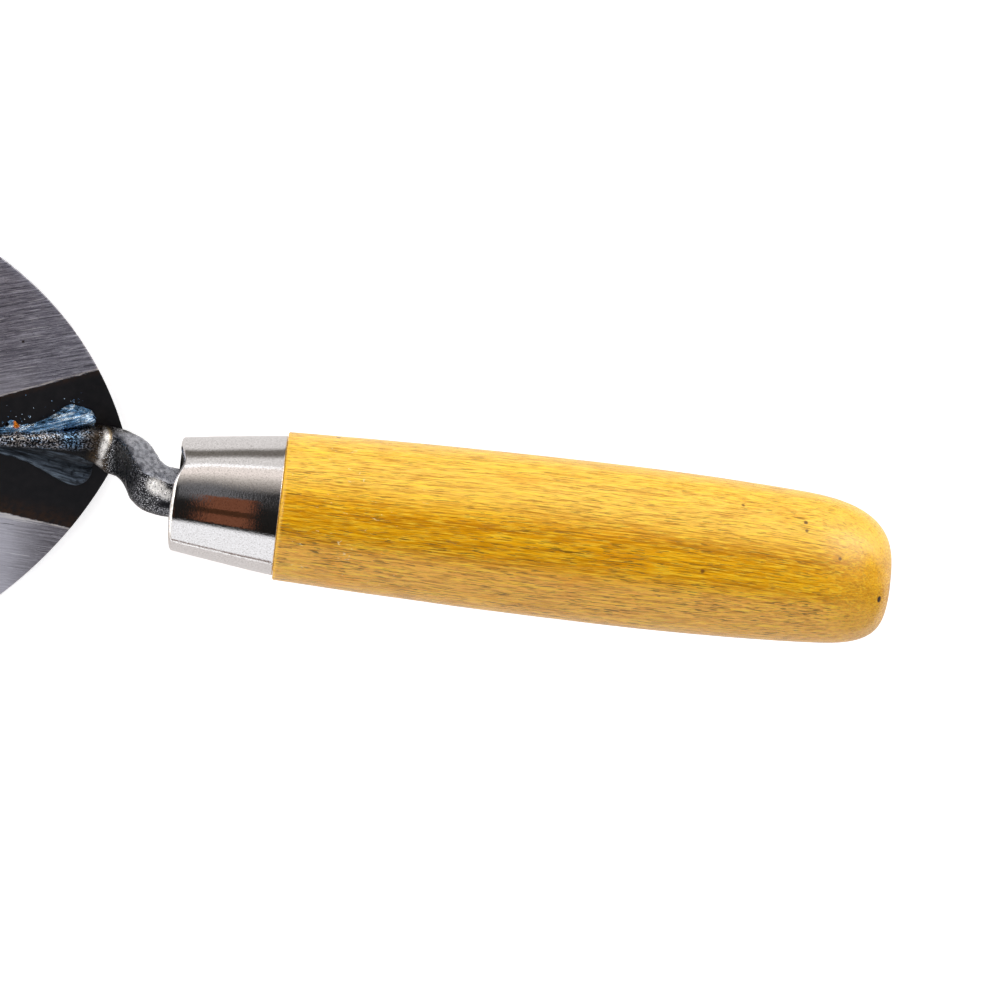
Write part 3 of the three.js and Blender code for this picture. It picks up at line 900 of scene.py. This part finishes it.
def left_height(across, root, ridge, place):
    """A groove beside the bar, a rounded ridge with long ripples, and a raised ragged outer lip."""
    x, y = place[:2]
    groove = root * (1 - smooth(0.0, 0.30, across))
    body = ridge * math.sin(math.pi * across ** 0.8) ** 0.6 if 0 < across < 1 else 0.0
    ripple = 0.20 * rough(((x + 0.3 * y) * 0.22, (y - 0.3 * x) * 1.2, 0), 1.0, 2.0)
    lip = 0.60 * bell(across, 0.88, 0.055) * (1 + 1.6 * rough(place, 1.1, 9.0))
    inward = smooth(0.0, 0.1, across) * smooth(1.0, 0.9, across)
    height = max(groove, body) + (ripple + lip) * inward * min(1.0, ridge)
    # The spots painted with shade are also dug in as pits.
    for (pit_x, pit_y, _), size, tone in WELD_SPOTS:
        if tone == PAINTED_SHADE:
            away = math.hypot((x - pit_x) / 1.3, y - pit_y) / size
            height += 0.45 * bell(away, 1.15, 0.30) - (height + 0.2) * bell(away, 0.0, 0.75)
    return height


def right_height(across, root, ridge, place):
    """A smooth face that falls from the bar's crest to a crease, then a low lobe."""
    face = root * (1 - smooth(-0.10, 0.66, across)) ** 0.8
    lobe_part = (across - 0.40) / 0.60
    lobe = ridge * math.sin(math.pi * lobe_part ** 1.1) ** 0.65 if 0 < lobe_part < 1 else 0.0
    ripple = 0.05 * rough((place[0] * 0.4, place[1] * 1.3, 0), 1.0, 4.0)
    border = 0.16 * bell(across, 0.95, 0.025)
    return max(face, lobe) + ripple * smooth(1.0, 0.9, across) + border


def make_weld(name, table, height, node, material):
    """A weld's upper surface from its table and its height across each row, closed by a flat base."""
    steps, columns = 150, 44
    rows = []
    for step in range(steps + 1):
        back, inner, outer, root, ridge = catmull(table, step / steps)
        x = HEEL_X - back
        row = []
        for column in range(columns + 1):
            across = column / columns
            y = blend(inner, outer, across)
            y += 0.10 * rough((x, y, 0), 1.3, 6.0) * across
            row.append((x, y, PLATE + 1.5 * SKIN + max(0.0, height(across, root, ridge, (x, y, 0)))))
        for column in range(columns, -1, -1):
            row.append((row[column][0], row[column][1], PLATE + SKIN))
        rows.append(row)
    points = [point for row in rows for point in row]
    faces = loft_faces(len(rows), len(rows[0]))
    if table[-1][2] > 0:
        faces = [tuple(reversed(face)) for face in faces]
    add_piece(name, points, faces, (node,), material)


def make_spatter(material):
    """Droplets thrown out of the left weld, frozen on the scale."""
    points, faces = [], []
    rings, sides = 4, 10
    weld_side = [(-row[0], row[2]) for row in LEFT_WELD]
    for _ in range(34):
        back = random.uniform(10, 30)
        away = random.expovariate(0.8)
        base = along_table(weld_side, -back)[0]
        centre = (HEEL_X - back, base + 0.6 + away, PLATE)
        radius = random.uniform(0.05, 0.14)
        start = len(points)
        for ring in range(rings):
            lift = (math.pi / 2) * ring / rings
            for side in range(sides):
                angle = 2 * math.pi * side / sides
                size = radius * math.cos(lift) * (1 + 0.15 * math.sin(2 * angle + back))
                points.append((
                    centre[0] + size * math.cos(angle),
                    centre[1] + size * math.sin(angle),
                    centre[2] + 0.7 * radius * math.sin(lift),
                ))
        faces.extend(tuple(start + corner for corner in face) for face in loft_faces(rings, sides))
    add_piece("weld_spatter", points, faces, (), material)


# ---------------- ferrule and handle

def turn_difference(angle, centre):
    """The turn from centre to angle, from minus to plus half a turn."""
    return math.atan2(math.sin(angle - centre), math.cos(angle - centre))


def rim_shift(angle):
    """The pressed mouth isn't quite flat: it is pushed in on one side and stands out on the other."""
    turn = math.degrees(turn_difference(angle, FACING))
    pushed_in = 1.35 * bell(turn, 36, 15)
    stands_out = -1.0 * bell(turn, -15, 60)
    far_side = -0.25 * (bell(turn, 180, 70) + bell(turn, -180, 70))
    return pushed_in + stands_out + far_side


def ferrule_radius(distance):
    """The ferrule's outer radius: a taper with a slight bulge half way."""
    part = distance / FERRULE_LENGTH
    return blend(MOUTH_RADIUS, REAR_RADIUS, part) + 4 * FERRULE_BULGE * part * (1 - part)


def turned(profile, sides, shape):
    """Points of a (distance, radius) profile swept about the handle's axis and varied by shape."""
    points = []
    for distance, radius in profile:
        for side in range(sides):
            angle = 2 * math.pi * side / sides
            run, out = shape(distance, radius, angle)
            points.append(MOUTH + AXIS * run + (UPWARD * math.cos(angle) + ACROSS * math.sin(angle)) * out)
    return points


def ferrule_profile(roll=14, body=60, inside=20):
    """The rolled lip from its inner end, the outer face, the cut rear edge and the inner face."""
    profile = []
    for step in range(roll + 1):
        angle = LIP_TURN * (1 - step / roll)
        profile.append((
            LIP_RADIUS * (1 - math.sin(angle)),
            ferrule_radius(LIP_RADIUS) - LIP_RADIUS * (1 - math.cos(angle)),
        ))
    for step in range(1, body + 1):
        distance = blend(LIP_RADIUS, FERRULE_LENGTH - 0.15, step / body)
        profile.append((distance, ferrule_radius(distance)))
    profile.append((FERRULE_LENGTH, ferrule_radius(FERRULE_LENGTH) - 0.12))
    profile.append((FERRULE_LENGTH, ferrule_radius(FERRULE_LENGTH) - FERRULE_WALL))
    for step in range(inside + 1):
        distance = blend(FERRULE_LENGTH - 0.2, LIP_RADIUS * 1.2, step / inside)
        profile.append((distance, ferrule_radius(distance) - FERRULE_WALL))
    return profile


def make_ferrule():
    """A closed tube of sheet steel with a rolled lip, its mouth dented and pushed in on one side."""
    profile = ferrule_profile()

    def shape(distance, radius, angle):
        near_mouth = max(0.0, 1 - distance / 7.0) ** 2
        dent = 0.03 * rough((distance * 0.3, math.cos(angle) * 4, math.sin(angle) * 4), 2.0)
        return distance + rim_shift(angle) * near_mouth, radius + dent

    sides = 160
    points = turned(profile, sides, shape)
    faces = loft_faces(len(profile), sides, closed_ends=False)
    last = (len(profile) - 1) * sides
    for side in range(sides):
        faces.append((last + side, last + (side + 1) % sides, (side + 1) % sides, side))
    faces = [tuple(reversed(face)) for face in faces]
    add_piece("ferrule_shell", points, faces, ("ferrule",), plated_metal())


def grip_radius(distance, exponent=BUTT_EXPONENT):
    """The handle's radius at a distance behind the ferrule, with a rounded butt."""
    if distance < FULLEST_POINT:
        short = (FULLEST_POINT - distance) / FULLEST_POINT
        return HANDLE_RADIUS - (HANDLE_RADIUS - SHOULDER_RADIUS) * short ** 2
    start = HANDLE_LENGTH - BUTT_ROUNDING
    past = (distance - FULLEST_POINT) / (start + BUTT_ROUNDING / 2 - FULLEST_POINT)
    body = HANDLE_RADIUS - (HANDLE_RADIUS - BUTT_RADIUS) * past ** 2
    rounded = min(max((distance - start) / BUTT_ROUNDING, 0.0), 1.0)
    return body * (1 - rounded ** exponent) ** (1 / exponent)


def handle_profile(tenon=5, grip=120, butt=48):
    """The tenon in the ferrule, the chamfered shoulder, the grip and the rounded butt."""
    profile = [(TENON_START, END_FLAT)]
    for step in range(tenon + 1):
        distance = blend(TENON_START, FERRULE_LENGTH + TENON_LEDGE, step / tenon)
        profile.append((distance, ferrule_radius(distance) - FERRULE_WALL - TENON_CLEARANCE))
    profile.append((FERRULE_LENGTH + TENON_LEDGE, SHOULDER_RADIUS - SHOULDER_CHAMFER))
    start = HANDLE_LENGTH - BUTT_ROUNDING
    for step in range(grip + 1):
        distance = blend(SHOULDER_CHAMFER, start, step / grip)
        profile.append((FERRULE_LENGTH + distance, grip_radius(distance)))
    for step in range(1, butt):
        distance = start + BUTT_ROUNDING * math.sin((math.pi / 2) * step / butt)
        profile.append((FERRULE_LENGTH + distance, grip_radius(distance)))
    profile.append((FERRULE_LENGTH + HANDLE_LENGTH, END_FLAT))
    return profile


def make_handle():
    """The turned handle, a little uneven along its grip and fuller on one side of its butt."""
    profile = handle_profile()
    start = HANDLE_LENGTH - BUTT_ROUNDING

    def shape(distance, radius, angle):
        grip_distance = distance - FERRULE_LENGTH
        place = (distance * 0.25, math.cos(angle) * 3, math.sin(angle) * 3)
        if grip_distance > start:
            toward = math.cos(turn_difference(angle, FACING - math.pi / 2))
            exponent = BUTT_EXPONENT * (1 + 0.38 * max(toward, 0.0) + 0.10 * min(toward, 0.0))
            radius *= grip_radius(grip_distance, exponent) / max(grip_radius(grip_distance), 0.001)
        if grip_distance > 0:
            radius += 0.05 * rough(place, 2.2) * smooth(0, 3, grip_distance)
        nick = 0.12 * rough((math.cos(angle) * 16, math.sin(angle) * 16, 0), 1.2, 4.0)
        return distance, radius + nick * bell(grip_distance, SHOULDER_CHAMFER, 0.5)

    sides = 180
    points = turned(profile, sides, shape)
    faces = [tuple(reversed(face)) for face in loft_faces(len(profile), sides)]
    add_piece("handle_wood", points, faces, ("handle",), lacquered_wood())


# ---------------- studio

def make_camera():
    """A long lens high over the trowel's left side, as in the photograph."""
    data = bpy.data.cameras.new("camera")
    data.lens = CAMERA_LENS
    data.clip_start = 0.05
    data.clip_end = 50
    camera = bpy.data.objects.new("camera", data)
    bpy.context.scene.collection.objects.link(camera)
    back = (CAMERA_PLACE - CAMERA_TARGET).normalized()
    right = CAMERA_UP.cross(back).normalized()
    turn = Matrix((right, back.cross(right), back)).transposed()
    camera.matrix_world = Matrix.Translation(CAMERA_PLACE * MM) @ turn.to_4x4()
    bpy.context.scene.camera = camera


# The floor and the cards, in millimetres
FLOOR_REACH = 6000
FLOOR_DROP = 0.2
FLOOR_GLOW = 0.55
CARD_REACH = 5900
CARD_LIFT = 0.5
LEFT_GREY, BAND_GREY, RIGHT_GREY = (0.76, 0.73, 0.72), (0.17, 0.155, 0.14), (0.71, 0.67, 0.66)
BROWN, DEEP_BROWN = (0.165, 0.060, 0.033), (0.060, 0.024, 0.012)


def level(low, high, height):
    """Corners of a level rectangle between two corners (x, y), two to a row."""
    return [(x, y, height) for y in (low[1], high[1]) for x in (low[0], high[0])]


def make_floor():
    """A pale floor that glows just enough to look white."""
    s = Shader("pale_floor")
    s.set("Base Color", (0.86, 0.86, 0.86, 1))
    s.set("Roughness", 0.9)
    s.set("Specular IOR Level", 0.0)
    s.set("Emission Color", (1, 1, 1, 1))
    s.set("Emission Strength", FLOOR_GLOW)
    corners = level((-FLOOR_REACH, -FLOOR_REACH), (FLOOR_REACH, FLOOR_REACH), -FLOOR_DROP)
    link_mesh("floor", corners, [(0, 1, 3, 2)], s.material)


def make_card(name, points, glow):
    """A glowing card, two points to a row, that only shiny surfaces see."""
    s = Shader(name)
    s.set("Base Color", (0, 0, 0, 1))
    s.set("Specular IOR Level", 0.0)
    s.set("Emission Color", glow(s) if callable(glow) else (*glow, 1))
    s.set("Emission Strength", 1.0)
    faces = [(low, low + 1, low + 3, low + 2) for low in range(0, len(points) - 2, 2)]
    card = link_mesh(name, points, faces, s.material)
    for ray in ("camera", "diffuse", "shadow", "transmission"):
        setattr(card, "visible_" + ray, False)


def curved_card(name, angles, runs, radius, glow, steps=8):
    """A card bent round the handle's axis, between two angles from the viewing side."""
    points = []
    for step in range(steps + 1):
        angle = FACING + math.radians(blend(*angles, step / steps))
        spoke = (UPWARD * math.cos(angle) + ACROSS * math.sin(angle)) * radius
        points += [MOUTH + AXIS * run + spoke for run in runs]
    make_card(name, points, glow)


def grey_with_band(s):
    """Pale grey with a soft dark band along it."""
    y = s.split(s.place)[1]
    dark = s.times(s.range(y, 44, 66), s.range(y, 140, 84))
    return s.mix(dark, LEFT_GREY, BAND_GREY)


def make_cards():
    """Pale cards on the floor at both sides, and a brown one over the ferrule with a darker stripe."""
    make_card("left_floor", level((40, 2), (420, CARD_REACH), CARD_LIFT), grey_with_band)
    make_card("right_floor", level((40, -CARD_REACH), (420, -2), CARD_LIFT), RIGHT_GREY)
    curved_card("brown_card", (-42, 3), (-7.6, 5.4), 60, BROWN)
    curved_card("brown_stripe", (-26, -17), (-7.6, 5.4), 59, DEEP_BROWN)


# The light around the handle's axis, in degrees from the viewing side towards +Y.
BAND = (
    (-125, (0.95, 0.95, 0.97)),
    (-58, (0.95, 0.95, 0.98)),
    (-51, (0.010, 0.009, 0.008)),
    (15, (0.020, 0.019, 0.019)),
    (40, (0.58, 0.53, 0.49)),
    (50, (0.92, 0.83, 0.78)),
    (80, (0.90, 0.83, 0.79)),
)
# A paler haze in the dark part of the band, on the toe's side
HAZE = (0.155, 0.153, 0.162)
# The light from the toe's end and from the butt's end: on the handle's right side, then on its left
TOE_LIGHT = ((1.6, 1.59, 1.58), (2.2, 2.18, 2.16))
BUTT_LIGHT = ((0.43, 0.43, 0.47), (4.4, 4.38, 4.36))
END_WALL = (0.30, 0.30, 0.32)
SKIRTING = (0.20, 0.14, 0.12)
# A small bright window over the toe
GLINT = Vector((-0.80, 0.32, 0.51)).normalized()
GLINT_LIGHT = (7.0, 6.9, 6.8)
GLINT_SPREAD = 7


def make_world():
    """Soft light all round, in bands about the handle's axis, with brighter light from both ends."""
    world = bpy.data.worlds.new("studio")
    bpy.context.scene.world = world
    world.use_nodes = True
    s = Nodes(world.node_tree)
    direction = s.add("ShaderNodeTexCoord").outputs["Generated"]
    _, west, height = s.split(direction)
    along = s.dot(direction, AXIS)
    sideways = s.dot(direction, ACROSS * math.cos(FACING) - UPWARD * math.sin(FACING))
    facing = s.dot(direction, UPWARD * math.cos(FACING) + ACROSS * math.sin(FACING))
    angle = s.math("ARCTAN2", sideways, facing)
    turn = s.plus(s.math("DIVIDE", angle, 2 * math.pi), 0.5)
    color = s.ramp(turn, [((degrees + 180) / 360, shade) for degrees, shade in BAND])

    degrees = s.times(angle, 180 / math.pi)
    haze = s.times(s.range(degrees, -14, 6), s.range(degrees, 40, 18))
    color = s.mix(s.times(haze, s.range(along, -0.234, -0.266)), color, HAZE)
    skirting = s.times(s.range(height, 0.075, 0.055), s.range(west, -0.25, -0.45))
    color = s.mix(skirting, color, SKIRTING)

    butt_light = s.mix(s.range(sideways, -0.10, 0.75), *BUTT_LIGHT)
    toe_light = s.mix(s.range(sideways, -0.30, 0.75), *TOE_LIGHT)
    color = s.mix(s.range(along, 0.20, 0.38), color, butt_light)
    color = s.mix(s.range(along, -0.40, -0.50), color, toe_light)
    end_wall = s.times(s.range(s.math("ABSOLUTE", along), 0.72, 0.84), s.range(height, 0.12, 0.30))
    color = s.mix(end_wall, color, END_WALL)
    rim = [math.cos(math.radians(GLINT_SPREAD + half)) for half in (1.5, -1.5)]
    color = s.mix(s.range(s.dot(direction, GLINT), *rim), color, GLINT_LIGHT)
    background = s.tree.nodes["Background"]
    s.feed(background.inputs["Color"], color)
    background.inputs["Strength"].default_value = 1.0


def set_view():
    bpy.context.scene.view_settings.view_transform = "Standard"
    bpy.context.scene.view_settings.look = "None"


# ---------------- assembly

make_camera()
make_floor()
make_cards()
make_world()
set_view()

make_blade()
make_tang()
blue_weld = weld_metal("blue_weld", 1, BLUE_TONES, gloss=0.18, relief_depth=0.26, crest=2.35)
slate_weld = weld_metal("slate_weld", -1, SLATE_TONES, gloss=0.32, relief_depth=0.06, face_shade=0.4)
make_weld("left_weld", LEFT_WELD, left_height, "weld_bead_left", blue_weld)
make_weld("right_weld", RIGHT_WELD, right_height, "weld_bead_right", slate_weld)
make_spatter(blue_weld)
make_ferrule()
make_handle()
